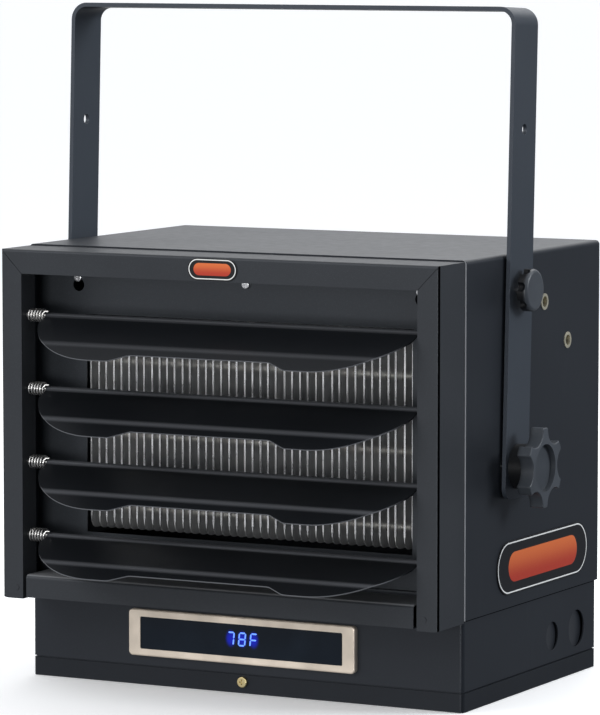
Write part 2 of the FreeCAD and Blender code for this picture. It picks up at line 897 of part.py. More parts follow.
def base_ring(inset, z0, z1):
    """Rounded block with the base box's plan, drawn in by inset."""
    radius = max(base_bend - inset, sheet)
    return rounded_block(-base_half + inset, base_half - inset, front_y + inset, back_y - inset, z0, z1, radius,
                         V(0, 0, 1))


def tray_screw_tools():
    """Shank bores through the tray's lip and the skirt behind it, front and rear."""
    radius = screw_shank_radius + snug
    reach = 2 * sheet + slip
    return [along_y(front_y - reach, front_y + 2 * reach, 0, tray_screw_rise, radius),
            along_y(back_y - 2 * reach, back_y + reach, 0, tray_screw_rise, radius)]


def knockout_places():
    return [(knockout_small_y, knockout_small_radius), (knockout_large_y, knockout_large_radius)]


def knockout(y, radius):
    """Punched disc that hangs by its front edge, with its rear edge pushed in."""
    face = base_half - knockout_seat
    disc = along_x(face - sheet, face, y, knockout_rise, radius + knockout_lap)
    disc.rotate(V(face, y - radius, knockout_rise), V(0, 0, 1), knockout_angle)
    return disc


def sleeve_block(wall, y0, y1):
    half = window_plate_width / 2 + wall
    rise = window_plate_height / 2 + wall
    return rounded_block(-half, half, y0, y1, bezel_z - rise, bezel_z + rise, window_corner + wall, V(0, 1, 0))


def base_box():
    """Four walls with a set-back skirt that the tray's lip closes round."""
    step = sheet + slip
    walls = base_ring(0, base_z, deck_z)
    skirt = base_ring(step, sheet, base_z + sheet)
    hollow = base_ring(sheet, base_z + sheet, deck_z + overrun)
    throat = base_ring(step + sheet, sheet - overrun, base_z + sheet + overrun)
    box = walls.fuse(skirt).cut([hollow, throat])
    box = box.cut(sleeve_block(bezel_sleeve_wall + slip, front_y - overrun, front_y + overrun))
    box = box.cut([along_x(base_half - overrun, base_half + overrun, y, knockout_rise, radius)
                   for y, radius in knockout_places()])
    box = box.fuse([knockout(y, radius) for y, radius in knockout_places()])
    return box.cut(tray_screw_tools())


def bottom_tray():
    tray = base_ring(0, 0, tray_height).cut(base_ring(sheet, sheet, tray_height + overrun))
    return tray.cut(tray_screw_tools())


def tray_screws():
    tip = 2 * sheet + slip + sheet
    return [facing(screw(tray_screw_radius, tip), V(0, -1, 0), 0, front_y, tray_screw_rise),
            facing(screw(tray_screw_radius, tip), V(0, 1, 0), 0, back_y, tray_screw_rise)]


def display_bezel():
    half = window_plate_width / 2 + bezel_side_rim
    rise = window_plate_height / 2 + bezel_top_rim
    face = front_y - bezel_depth
    rim = rounded_block(-half, half, face, front_y, bezel_z - rise, bezel_z + rise, bezel_corner, V(0, 1, 0))
    rim = rounded(rim, bezel_edge, lambda edge: edge.CenterOfMass.y < face + tolerance)
    sleeve = sleeve_block(bezel_sleeve_wall, front_y, front_y + bezel_sleeve_depth)
    return rim.fuse(sleeve).cut(sleeve_block(0, face - overrun, front_y + bezel_sleeve_depth + overrun))


def display_window():
    y0 = front_y - bezel_depth + window_recess
    return sleeve_block(-snug, y0, y0 + window_plate_depth)


def display_board():
    half = window_plate_width / 2 + bezel_sleeve_wall - display_board_margin / 2
    rise = window_plate_height / 2 + bezel_sleeve_wall
    y0 = front_y + bezel_sleeve_depth
    return block(-half, half, y0, y0 + board_sheet, bezel_z - rise, bezel_z + rise)


def display_module():
    y0 = front_y - bezel_depth + window_recess + window_plate_depth
    half = module_width / 2
    rise = module_height / 2
    return block(-half, half, y0, front_y + bezel_sleeve_depth, bezel_z - rise, bezel_z + rise)


# Control compartment, hung from the deck

def board_corner():
    return -control_left, front_y + control_back


def control_board():
    x0, y0 = board_corner()
    z1 = deck_z - standoff_height
    return block(x0, x0 + control_width, y0, y0 + control_depth, z1 - board_sheet, z1)


def board_standoffs():
    x0, y0 = board_corner()
    posts = []
    for x in (x0 + standoff_inset, x0 + control_width - standoff_inset):
        for y in (y0 + standoff_inset, y0 + control_depth - standoff_inset):
            posts.append(along_z(deck_z - standoff_height, deck_z, x, y, standoff_radius))
    return posts


def transformer():
    x0, y0 = board_corner()
    x = x0 + transformer_inset
    y = y0 + transformer_inset
    z1 = deck_z - standoff_height - board_sheet
    return block(x, x + transformer_width, y, y + transformer_depth, z1 - transformer_height, z1)


def relays():
    x0, y0 = board_corner()
    z1 = deck_z - standoff_height - board_sheet
    row = x0 + transformer_inset + transformer_width + transformer_inset
    y = y0 + transformer_inset
    return [block(row + k * relay_pitch, row + k * relay_pitch + relay_width, y, y + relay_depth,
                  z1 - relay_height, z1) for k in range(relay_count)]


def terminal_block():
    x1 = base_half - terminal_inset
    y0 = front_y + terminal_back - terminal_depth / 2
    body = block(x1 - terminal_width, x1, y0, y0 + terminal_depth, deck_z - terminal_height, deck_z)
    pitch = terminal_depth / terminal_slot_count
    slots = []
    for k in range(terminal_slot_count):
        y = y0 + (k + 0.5) * pitch
        slots.append(block(x1 - terminal_slot, x1 + overrun, y - terminal_slot / 2, y + terminal_slot / 2,
                           deck_z - terminal_height - overrun, deck_z - terminal_height + terminal_slot_depth))
    return body.cut(slots)


def earth_screw():
    x = base_half - terminal_inset - terminal_width / 2
    y = front_y + terminal_back + terminal_depth / 2 + earth_screw_gap
    head = screw(screw_head_radius, screw_shank_radius)
    return facing(head.common(block(-overrun, overrun, -overrun, overrun, 0, screw_head_height)), V(0, 0, -1),
                  x, y, deck_z)


# Bracket, knobs and inserts

def insert(y, z, flange_radius, barrel_radius, bore_radius):
    """Right-hand flanged insert seated on the shell's side."""
    inside = shell_half - insert_length
    rim = along_x(shell_half, shell_half + insert_rim, y, z, flange_radius)
    barrel = along_x(inside, shell_half, y, z, barrel_radius)
    return rim.fuse(barrel).cut(along_x(inside - overrun, shell_half + overrun, y, z, bore_radius))


def insert_spaces():
    """Room that the barrels of the inserts need inside the shell."""
    places = [(pivot_y, pivot_z, pivot_barrel_radius)]
    places += [lock_place(k) + (lock_barrel_radius,) for k in range(lock_count)]
    right = [along_x(shell_half - insert_length - insert_clear, shell_half, y, z, radius + insert_clear)
             for y, z, radius in places]
    return right + [mirrored(space) for space in right]


def side_inserts():
    right = [insert(pivot_y, pivot_z, pivot_insert_radius, pivot_barrel_radius, pivot_stud_radius + snug)]
    for k in range(lock_count):
        y, z = lock_place(k)
        right.append(insert(y, z, lock_insert_radius, lock_barrel_radius, lock_stud_radius + snug))
    return right + [mirrored(piece) for piece in right]


def pivot_washers():
    washer = along_x(shell_half, shell_half + washer_sheet, pivot_y, pivot_z, washer_radius)
    washer = washer.cut(along_x(shell_half - overrun, shell_half + overrun, pivot_y, pivot_z,
                                pivot_insert_radius + snug))
    return [washer, mirrored(washer)]


def mounting_bracket():
    y0 = pivot_y - bracket_bar / 2
    y1 = pivot_y + bracket_bar / 2
    z0 = pivot_z - bracket_below
    z1 = pivot_z + bracket_above
    lengthwise = V(0, 1, 0)
    outer = rounded(block(-bracket_outer, bracket_outer, y0, y1, z0, z1), bracket_bend,
                    lambda edge: runs(edge, lengthwise) and edge.CenterOfMass.z > pivot_z)
    inner = rounded(block(-bracket_inner, bracket_inner, y0 - overrun, y1 + overrun, z0 - overrun,
                          z1 - bracket_sheet), bracket_bend - bracket_sheet,
                    lambda edge: runs(edge, lengthwise) and edge.CenterOfMass.z > pivot_z)
    bar = outer.cut(inner)
    bar = rounded(bar, bracket_corner, lambda edge: runs(edge, V(1, 0, 0)) and edge.CenterOfMass.z < pivot_z)
    reach = bracket_outer + overrun
    bores = [along_x(-reach, reach, pivot_y, pivot_z, pivot_stud_radius + snug),
             along_x(-reach, reach, pivot_y, pivot_z + lock_ring_radius, lock_stud_radius + snug),
             along_x(-reach, reach, pivot_y, pivot_z + arm_hole_above, arm_hole_radius)]
    for side in (-1, 1):
        bores.append(along_z(z1 - bracket_sheet - overrun, z1 + overrun, side * ceiling_hole_spacing / 2, pivot_y,
                             ceiling_hole_radius))
    return turned_x(bar.cut(bores), pivot_y, pivot_z, -lock_first_angle)


def polar(distance, angle):
    return V(distance * math.cos(angle), distance * math.sin(angle), 0)


def star_disc():
    """Head on the XY plane: flat-ended points with a round scallop between each two."""
    half = math.pi / star_points
    tip = math.asin(star_tip / 2 / star_radius)
    edges = []
    for k in range(star_points):
        angle = 2 * k * half
        end = polar(star_radius, angle + tip)
        edges.append(Part.Arc(polar(star_radius, angle - tip), polar(star_radius, angle), end).toShape())
        edges.append(Part.Arc(end, polar(star_neck_radius, angle + half),
                              polar(star_radius, angle + 2 * half - tip)).toShape())
    disc = Part.Face(Part.Wire(edges)).extrude(V(0, 0, star_head))
    disc = rounded(disc, star_tip_round, lambda edge: runs(edge, V(0, 0, 1)))
    return rounded(disc, star_round, lambda edge: not runs(edge, V(0, 0, 1)))


def star_knob():
    """Right-hand pivot knob: a round hub against the bracket and a pointed head with a recessed face."""
    hub = Part.makeCylinder(star_hub_radius, star_hub + star_round)
    head = star_disc()
    head.translate(V(0, 0, star_hub))
    top = star_hub + star_head
    recess = Part.makeCylinder(star_recess_radius, star_recess + overrun, V(0, 0, top - star_recess))
    socket = Part.makeCylinder(pivot_stud_radius, stud_seat + overrun, V(0, 0, -overrun))
    knob = hub.fuse(head).cut([recess, socket])
    return facing(knob, V(1, 0, 0), bracket_outer + slip, pivot_y, pivot_z)


def star_stud():
    return along_x(shell_half - insert_length, bracket_outer + slip + stud_seat, pivot_y, pivot_z,
                   pivot_stud_radius)


def lock_knob_base():
    return bracket_outer + lock_travel + slip


def lock_flute(k):
    """Round-ended flute in the side of the lock knob, open at its back."""
    centre = polar(lock_radius + lock_flute_radius - lock_flute_depth, 2 * k * math.pi / lock_flutes)
    groove = Part.makeCylinder(lock_flute_radius, lock_flute_length + overrun, centre - V(0, 0, overrun))
    return groove.fuse(Part.makeSphere(lock_flute_radius, centre + V(0, 0, lock_flute_length)))


def lock_knob():
    """Right-hand lock knob with a fluted side, backed off until its stud is clear of the shell."""
    knob = rounded(Part.makeCylinder(lock_radius, lock_thick), lock_round,
                   lambda edge: edge.CenterOfMass.z > lock_thick - tolerance)
    knob = knob.cut([lock_flute(k) for k in range(lock_flutes)])
    knob = knob.cut(Part.makeCylinder(lock_stud_radius, stud_seat + overrun, V(0, 0, -overrun)))
    y, z = lock_place(0)
    return facing(knob, V(1, 0, 0), lock_knob_base(), y, z)


def lock_stud():
    y, z = lock_place(0)
    return along_x(shell_half + insert_rim + slip, lock_knob_base() + stud_seat, y, z, lock_stud_radius)


# All nodes

def nodes():
    pieces = {
        "cabinet_shell": cabinet_shell(), "cabinet_deck": deck(), "rear_panel": rear_panel(),
        "rear_guard": rear_guard(), "rear_screws": rear_screws(), "front_frame": front_frame(),
        "frame_sill": frame_sill(), "frame_rivets": frame_rivets(), "badge_front": badge_front(),
        "badge_side": badge_side(), "inner_baffle": inner_baffle(), "baffle_screws": baffle_screws(),
        "louver_rods": louver_rods(), "element_insulators": element_insulators(), "element_fins": element_fins(),
        "element_plate_right": element_end_plate(), "element_plate_left": mirrored(element_end_plate()),
        "limit_switch": limit_switch(), "motor_mount": motor_mount(), "fan_motor": fan_motor(),
        "motor_shaft": motor_shaft(), "fan_blade": fan_blade(), "fan_nut": fan_nut(), "fan_shroud": fan_shroud(),
        "base_box": base_box(), "bottom_tray": bottom_tray(), "tray_screws": tray_screws(),
        "display_bezel": display_bezel(), "display_window": display_window(), "display_board": display_board(),
        "display_module": display_module(), "control_board": control_board(), "board_standoffs": board_standoffs(),
        "transformer": transformer(), "relays": relays(), "terminal_block": terminal_block(),
        "earth_screw": earth_screw(), "side_inserts": side_inserts(), "pivot_washers": pivot_washers(),
        "mounting_bracket": mounting_bracket(),
    }
    for k in range(louver_count):
        pieces[f"louver_{k + 1}"] = louver(k)
        pieces[f"louver_spring_{k + 1}"] = louver_spring(k)
    for k, z in enumerate(element_heights()):
        pieces[f"heating_element_{k + 1}"] = heating_element(z)
    for name, piece in (("star_knob", star_knob()), ("star_stud", star_stud()),
                        ("lock_knob", lock_knob()), ("lock_stud", lock_stud())):
        pieces[name + "_right"] = piece
        pieces[name + "_left"] = mirrored(piece)
    return pieces


def main():
    os.makedirs("parts", exist_ok=True)
    for name, piece in nodes().items():
        shape = Part.makeCompound(piece) if isinstance(piece, list) else piece
        if not shape.isValid() or len(shape.Solids) != (len(piece) if isinstance(piece, list) else 1):
            print("check", name, shape.isValid(), len(shape.Solids))
        shape.exportStep(f"parts/{name}.step")
    print("least gap between spring turns", round(least_self_gap(spring_path(), spring_wire), 2), "mm")


main()
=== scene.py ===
# Garage heater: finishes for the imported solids, fuller springs, fins, rear guard and fan in place of the
# plain ones, the guard's fixings and the display's lit figures.
# Metres, in the frame's own axes: +Z up, the louvres face -Y. Colours are linear.
import bpy
import bmesh
import math
from mathutils import Euler, Matrix, Vector


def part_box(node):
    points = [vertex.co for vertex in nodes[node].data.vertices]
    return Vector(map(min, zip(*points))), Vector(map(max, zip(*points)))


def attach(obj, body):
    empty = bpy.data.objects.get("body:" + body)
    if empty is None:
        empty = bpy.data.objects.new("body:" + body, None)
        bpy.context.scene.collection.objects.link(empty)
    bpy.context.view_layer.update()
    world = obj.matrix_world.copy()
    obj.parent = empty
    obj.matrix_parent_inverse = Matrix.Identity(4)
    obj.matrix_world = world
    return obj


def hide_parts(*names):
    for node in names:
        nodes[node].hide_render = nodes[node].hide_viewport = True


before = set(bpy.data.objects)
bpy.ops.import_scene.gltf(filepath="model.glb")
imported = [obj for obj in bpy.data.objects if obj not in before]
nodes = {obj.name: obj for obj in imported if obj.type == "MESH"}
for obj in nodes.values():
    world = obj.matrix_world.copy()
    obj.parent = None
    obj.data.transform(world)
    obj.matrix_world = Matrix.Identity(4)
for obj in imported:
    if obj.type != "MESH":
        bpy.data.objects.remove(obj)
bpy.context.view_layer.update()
scene = bpy.context.scene


def middle_of(node):
    """Middle of a node's box."""
    low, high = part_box(node)
    return (low + high) / 2


# Shader sums

class Value:
    """A shader socket that takes part in Python sums."""

    def __init__(self, shading, socket):
        self.shading = shading
        self.socket = socket

    def sum(self, operation, *others):
        node = self.shading.node("Math", {"operation": operation}, dict(enumerate((self, *others))))
        return Value(self.shading, node.outputs[0])

    def __add__(self, other):
        return self.sum("ADD", other)

    __radd__ = __add__

    def __mul__(self, other):
        return self.sum("MULTIPLY", other)

    def __truediv__(self, other):
        return self.sum("DIVIDE", other)

    def __sub__(self, other):
        return self.sum("SUBTRACT", other)

    def __rsub__(self, other):
        return self.sum("MULTIPLY_ADD", -1.0, other)

    def __abs__(self):
        return self.sum("ABSOLUTE")

    def __pow__(self, other):
        return self.sum("POWER", other)

    def most(self, other):
        return self.sum("MAXIMUM", other)

    def above(self, edge, soft):
        """0 below edge - soft, 1 above edge + soft, eased between them."""
        node = self.shading.node("MapRange", {"interpolation_type": "SMOOTHSTEP"},
                                 {"Value": self, "From Min": edge - soft, "From Max": edge + soft})
        return Value(self.shading, node.outputs[0])

    def below(self, edge, soft):
        return 1 - self.above(edge, soft)

    def near(self, value, reach, soft):
        """1 within reach of a value, 0 away from it."""
        return abs(self - value).below(reach, soft)

    def sway(self, spread):
        """Noise as a spread about 0."""
        return (self - 0.5) * spread


class Shading:
    """The node tree of a material or of the room, and the shader that it feeds."""

    def __init__(self, tree, shader):
        self.tree = tree
        self.shader = tree.nodes[shader]

    def node(self, kind, settings=None, inputs=None):
        """Shader node of a kind, with its settings first and then its sockets' values or links."""
        node = self.tree.nodes.new("ShaderNode" + kind)
        for key, value in (settings or {}).items():
            setattr(node, key, value)
        for key, value in (inputs or {}).items():
            self.join(node.inputs[key], value)
        return node

    def join(self, socket, value):
        if isinstance(value, Value):
            value = value.socket
        if isinstance(value, bpy.types.NodeSocket):
            self.tree.links.new(value, socket)
        else:
            socket.default_value = value

    def feed(self, socket, value):
        self.join(self.shader.inputs[socket], value)

    def fed(self, socket):
        """What feeds a socket of the shader so far."""
        return Value(self, self.shader.inputs[socket].links[0].from_socket)

    def part(self, vector, name):
        """The X, Y or Z of a vector socket."""
        return Value(self, self.node("SeparateXYZ", None, {0: vector}).outputs[name])

    def mix(self, factor, first, second):
        """Colour that goes from first to second with the factor; a Mix node's sockets go by number."""
        def whole(color):
            return (*color, 1.0) if isinstance(color, tuple) and len(color) == 3 else color
        made = self.node("Mix", {"data_type": "RGBA"}, {0: factor, 6: whole(first), 7: whole(second)})
        return made.outputs[2]


# Colour of the painted shade that Finish.shadow mixes into joints and folds.
painted_shade_black = (0.0012, 0.0012, 0.0014, 1.0)


class Finish(Shading):
    """One material: a Principled shader and the nodes that feed it."""

    def __init__(self, name, color, roughness, metallic=0.0, **fixed):
        self.material = bpy.data.materials.new(name)
        self.material.use_nodes = True
        super().__init__(self.material.node_tree, "Principled BSDF")
        self.feed("Base Color", (*color, 1.0))
        self.feed("Roughness", roughness)
        self.feed("Metallic", metallic)
        for socket, value in fixed.items():
            self.feed(socket.replace("_", " "), value)
        self.material.diffuse_color = (*color, 1.0)
        self.place = self.node("TexCoord").outputs["Object"]

    def axis(self, name):
        """A point's place along an axis of its piece."""
        return self.part(self.place, name)

    def turned(self, name):
        """How far a face looks along an axis of its piece."""
        return self.part(self.node("TexCoord").outputs["Normal"], name)

    def facing(self, name):
        """How far a face looks along an axis of the room."""
        return self.part(self.node("NewGeometry").outputs["Normal"], name)

    def noise(self, scale, detail=2.0, stretch=(1.0, 1.0, 1.0)):
        mapped = self.node("Mapping", None, {"Vector": self.place, "Scale": stretch}).outputs[0]
        made = self.node("TexNoise", None, {"Vector": mapped, "Scale": scale, "Detail": detail})
        return Value(self, made.outputs["Fac"])

    def bump(self, height, strength, distance):
        made = self.node("Bump", None, {"Height": height, "Strength": strength, "Distance": distance})
        self.feed("Normal", made.outputs[0])

    def shadow(self, mask):
        """Deep, dull shadow in a joint or a fold, where mask is 1."""
        dull = self.node("BsdfDiffuse", None, {"Color": painted_shade_black}).outputs[0]
        both = self.node("MixShader", None, {0: mask, 1: self.shader.outputs[0], 2: dull}).outputs[0]
        self.join(self.tree.nodes["Material Output"].inputs["Surface"], both)


# Kinds of finish

cool_sheen = (0.88, 0.92, 1.0, 1.0)
dust_grey = (0.3, 0.29, 0.28)


def toned(color, factor, lift=0.0):
    """A colour made lighter or darker."""
    return tuple(factor * c + lift for c in color)


def powder_coat(name, color, light, roughness, dust=0.06, peel=0.25, specular=0.36):
    """Baked powder coat: orange peel, cloudy sheen, specks, dust on what faces up and rubbed marks."""
    finish = Finish(name, color, roughness, Specular_IOR_Level=specular, Specular_Tint=cool_sheen)
    cloud = finish.noise(scale=9.0, detail=4.0)
    speck = finish.noise(scale=1900.0, detail=1.0)
    rub = finish.noise(scale=46.0, detail=5.0, stretch=(1.0, 1.0, 0.35)).above(0.68, 0.1)
    patch = finish.noise(scale=120.0, detail=5.0).above(0.5, 0.2)
    dusty = finish.facing("Z").above(0.7, 0.25) * patch * dust
    tone = finish.mix(cloud.above(0.5, 0.25), color, light)
    tone = finish.mix(speck.above(0.64, 0.06) * 0.35, tone, toned(light, 2.1))
    finish.feed("Base Color", finish.mix(dusty, tone, dust_grey))
    finish.feed("Roughness", roughness + cloud.sway(0.1) + speck.sway(0.08) - rub * 0.03 + dusty * 2.0)
    grain = finish.noise(scale=1250.0) + finish.noise(scale=340.0, detail=1.0) * 0.5
    finish.bump(grain, strength=peel, distance=0.00012)
    return finish


def bare_metal(name, color, roughness, stain, streak=(1.0, 1.0, 1.0), scale=300.0):
    """Bare or plated metal with drawing streaks and dull stains."""
    finish = Finish(name, color, roughness, metallic=1.0)
    lines = finish.noise(scale, detail=3.0, stretch=streak)
    patch = finish.noise(scale=55.0, detail=4.0).above(0.58, 0.14)
    drawn = finish.mix(lines, toned(color, 0.75), color)
    finish.feed("Base Color", finish.mix(patch * 0.6, drawn, stain))
    finish.feed("Roughness", roughness + lines.sway(0.16) + patch * 0.18)
    finish.bump(lines, strength=0.12, distance=0.00008)
    return finish


def moulded(name, color, roughness, grain=0.3, scale=1500.0):
    """Moulded plastic with a fine spark-eroded grain and faint flow marks."""
    finish = Finish(name, color, roughness)
    flow = finish.noise(scale=35.0, detail=3.0, stretch=(1.0, 0.3, 1.0))
    pits = finish.noise(scale)
    finish.feed("Base Color", finish.mix(flow.above(0.55, 0.3), color, toned(color, 1.5, lift=0.002)))
    finish.feed("Roughness", roughness + flow.sway(0.12) + pits.sway(0.1))
    finish.bump(pits, strength=grain, distance=0.0001)
    return finish


# Finishes that change from place to place

def cabinet_finish():
    """The cabinet's coat, worn bright on the shell's front edges, with painted shade in the joint below the
    shell.
    """
    finish = powder_coat("cabinet_powder_coat", (0.0095, 0.0112, 0.0145), (0.0115, 0.0136, 0.0172), 0.4,
                         dust=0.02, peel=0.1, specular=0.315)
    shell_low, shell_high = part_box("cabinet_shell")
    base_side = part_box("base_box")[1].x
    worn_deep = 0.0003
    worn_wide = 0.0013
    side = abs(finish.axis("X"))
    height = finish.axis("Z")
    worn = finish.axis("Y").below(shell_low.y + worn_deep, 0.0001)
    worn = worn * side.above(shell_high.x - worn_wide, 0.0002)
    finish.feed("Base Color", finish.mix(worn * 0.75, finish.fed("Base Color"), (0.42, 0.43, 0.45)))
    # Painted shade on the base box, in the joint just below the shell's lower edge.
    joint = height.above(shell_low.z - 0.0011, 0.0003) * height.below(shell_low.z + 0.002, 0.0005)
    finish.shadow(joint * side.below(base_side + 0.00015, 0.0001))
    return finish


def frame_finish():
    """The front frame's coat, with painted shade in the folds at its sides and a painted highlight on the
    sill's upper edge.
    """
    finish = powder_coat("frame_powder_coat", (0.0226, 0.0248, 0.028), (0.0271, 0.0295, 0.0332), 0.44,
                         dust=0.03, specular=0.25)
    frame_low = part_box("front_frame")[0]
    sill_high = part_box("frame_sill")[1]
    fold_wide = 0.0012
    fold_deep = 0.0016
    side = abs(finish.axis("X"))
    # Painted shade along the folds at the frame's sides.
    fold = side.above(-frame_low.x - fold_wide, 0.0002)
    finish.shadow(fold * finish.axis("Y").below(frame_low.y + fold_deep, 0.0003))
    # Painted highlight along the sill's upper edge.
    painted_highlight = finish.axis("Z").near(sill_high.z, 0.0009, 0.0004) * side.below(sill_high.x, 0.0001)
    finish.feed("Base Color", finish.mix(painted_highlight, finish.fed("Base Color"), (0.17, 0.174, 0.182)))
    return finish


louver_slopes = (66.6, 65.5, 67.2, 71.0)
# How strong each blade's painted highlight is along its bend and rolled edge.
louver_highlight = (0.036, 0.06, 0.065, 0.065)
cool_grey = (1.0, 1.04, 1.14)


def louver_finish(k):
    """A blade's coat: deep black, with painted highlights along its bend, its rolled edge and its cut edges.
    """
    finish = powder_coat(f"louver_coat_{k}", (0.0052, 0.006, 0.0072), (0.0072, 0.008, 0.0095), 0.36,
                         dust=0.0, peel=0.18, specular=0.11)
    rod = middle_of(f"louver_spring_{k}")
    slope = math.radians(louver_slopes[k - 1])
    bend_reach = 0.0425
    roll_radius = 0.0038
    blade_start = 0.02
    back = finish.axis("Y") - rod.y
    rise = finish.axis("Z") - rod.z
    out = (back * back + rise * rise) ** 0.5
    bend = out.near(bend_reach, 0.0024, 0.0022)
    roll = out.below(roll_radius, 0.0006)
    # Painted highlight along the bend and, weaker, along the rolled edge.
    painted_highlight = toned(cool_grey, louver_highlight[k - 1])
    tone = finish.mix(bend.most(roll * 0.6), finish.fed("Base Color"), painted_highlight)
    outward = finish.turned("Y") * -math.sin(slope) + finish.turned("Z") * -math.cos(slope)
    # Painted highlight on the cut edges that face outward along the blade.
    cut = outward.above(0.55, 0.2) * out.above(blade_start, 0.004)
    finish.feed("Base Color", finish.mix(cut, tone, (0.13, 0.135, 0.145)))
    return finish


def fin_finish():
    """Bright fin steel, duller behind the rolled front edges."""
    finish = bare_metal("fin_steel", (0.97, 0.975, 0.98), 0.32, stain=(0.8, 0.79, 0.77),
                        streak=(1.0, 1.0, 0.12), scale=420.0)
    rolled_deep = 0.0017
    rolled = finish.axis("Y").below(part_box("element_fins")[0].y + rolled_deep, 0.0002)
    dull = (1 - rolled) * 0.1
    finish.feed("Base Color", finish.mix(dull, finish.fed("Base Color"), (0.33, 0.34, 0.36)))
    finish.feed("Roughness", finish.fed("Roughness") - rolled * 0.07)
    finish.feed("Metallic", 0.75 + rolled * 0.15)
    return finish


def knob_finish(name, node, depth, soft):
    """Moulded knob, grey on its head, with painted shade making it black behind the head."""
    finish = moulded(name, (0.036, 0.0412, 0.0485), 0.42, grain=0.35)
    finish.feed("Specular IOR Level", 0.36)
    # Painted shade: the body behind the knob's head is made near black.
    head = abs(finish.axis("X")).above(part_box(node)[1].x - depth, soft)
    finish.feed("Base Color", finish.mix(head, (0.004, 0.0045, 0.0055), finish.fed("Base Color")))
    return finish


figure_x = 0.0014
figure_z = 0.0417
figure_step = 0.0098


def window_finish():
    """Dark gloss of the display's window, with a faint glow round each lit figure."""
    finish = moulded("window_gloss", (0.0018, 0.0055, 0.0115), 0.14, grain=0.0)
    finish.feed("Specular IOR Level", 0.16)
    halo_wide = 0.0046
    halo_tall = 0.0068
    rise = (finish.axis("Z") - figure_z) / halo_tall

    def spot(k):
        aside = (finish.axis("X") - (figure_x + k * figure_step)) / halo_wide
        return (aside * aside + rise * rise).below(0.75, 0.75)

    halo = spot(-1).most(spot(0)).most(spot(1)) ** 2.0
    finish.feed("Emission Color", finish.mix(halo, (0.0, 0.0, 0.0), (0.003, 0.008, 0.42)))
    finish.feed("Emission Strength", 1.0)
    return finish


def badge_finish(name, node, along, line):
    """Domed label by distance from its middle line: a fine bright line, a dark band and a warm field."""
    low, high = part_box(node)
    finish = Finish(name, (0.4, 0.05, 0.02), 0.3, Specular_IOR_Level=0.25)
    half = (high.z - low.z) / 2
    reach = max(high.x - low.x, high.y - low.y) / 2
    field_half = half * 0.56
    field_reach = reach * 0.76
    middle = middle_of(node)
    across = abs(finish.axis(along) - getattr(middle, along.lower()))
    rise = finish.axis("Z") - middle.z

    def from_line(length):
        past = (across - length).most(0.0)
        return (past * past + rise * rise) ** 0.5

    bright = from_line(reach - half).near(half - 1.6 * line, line / 2, line / 6)
    field = from_line(field_reach - field_half).below(field_half, line / 5)
    warm = finish.mix((rise / half).above(0.05, 0.5), (0.42, 0.04, 0.02), (0.66, 0.15, 0.042))
    tone = finish.mix(field, (0.0075, 0.0072, 0.008), warm)
    finish.feed("Base Color", finish.mix(bright, tone, (0.8, 0.8, 0.78)))
    finish.feed("Roughness", finish.noise(scale=400.0) * 0.1 + 0.3)
    finish.bump(bright + field * 0.6, strength=0.4, distance=0.0002)
    return finish


def glow_finish(name, color, bright, strength):
    """Lit plastic with a slightly uneven glow."""
    finish = Finish(name, (0.01, 0.02, 0.08), 0.3)
    uneven = finish.noise(scale=900.0, detail=1.0).above(0.5, 0.4)
    finish.feed("Emission Color", finish.mix(uneven * 0.35, color, bright))
    finish.feed("Emission Strength", strength)
    return finish


# Finishes of the carried-over nodes

inner_coat = powder_coat("inner_powder_coat", (0.03, 0.0335, 0.038), (0.036, 0.04, 0.045), 0.36, dust=0.0)
# A darker copy of the cabinet's coat: painted shade on the bottom tray.
tray_shaded_coat = powder_coat("tray_shaded_powder_coat", (0.007, 0.0083, 0.0107), (0.0086, 0.0102, 0.0129), 0.42,
                        dust=0.02, peel=0.1, specular=0.25)
bracket_coat = powder_coat("bracket_powder_coat", (0.028, 0.034, 0.043), (0.0335, 0.0405, 0.0505), 0.4)
guard_coat = powder_coat("guard_coat", (0.015, 0.016, 0.018), (0.02, 0.021, 0.023), 0.4, peel=0.15)
motor_coat = powder_coat("motor_coat", (0.02, 0.02, 0.022), (0.026, 0.026, 0.028), 0.45)
spring_wire = bare_metal("spring_wire", (0.72, 0.71, 0.69), 0.26, stain=(0.5, 0.48, 0.45), scale=500.0)
zinc = bare_metal("bright_zinc", (0.66, 0.66, 0.67), 0.3, stain=(0.45, 0.46, 0.48))
yellow_zinc = bare_metal("yellow_zinc", (0.68, 0.58, 0.3), 0.3, stain=(0.5, 0.38, 0.2))
insert_plate = bare_metal("insert_plate", (0.66, 0.61, 0.46), 0.34, stain=(0.5, 0.46, 0.36))
insert_plate.feed("Metallic", 0.7)
fin_metal = fin_finish()
sheath = bare_metal("element_sheath", (0.3, 0.29, 0.27), 0.45, stain=(0.16, 0.14, 0.13),
                    streak=(0.1, 1.0, 1.0))
fan_metal = bare_metal("fan_aluminium", (0.62, 0.62, 0.63), 0.38, stain=(0.5, 0.5, 0.5),
                       streak=(0.2, 1.0, 1.0))
core_iron = bare_metal("transformer_core", (0.2, 0.2, 0.21), 0.5, stain=(0.12, 0.11, 0.1),
                       streak=(1.0, 8.0, 0.2))
ceramic = moulded("ceramic_bush", (0.72, 0.69, 0.62), 0.5, grain=0.2, scale=700.0)
dark_plastic = moulded("dark_plastic", (0.02, 0.02, 0.021), 0.45)
board_green = moulded("circuit_board", (0.02, 0.1, 0.045), 0.4, grain=0.15)
bezel_paint = moulded("bezel_champagne", (0.62, 0.535, 0.44), 0.34, grain=0.12, scale=2600.0)
bezel_paint.feed("Metallic", 0.35)
star_plastic = knob_finish("star_knob_plastic", "star_knob_right", depth=0.0105, soft=0.0035)
lock_plastic = knob_finish("lock_knob_plastic", "lock_knob_right", depth=0.0026, soft=0.0016)

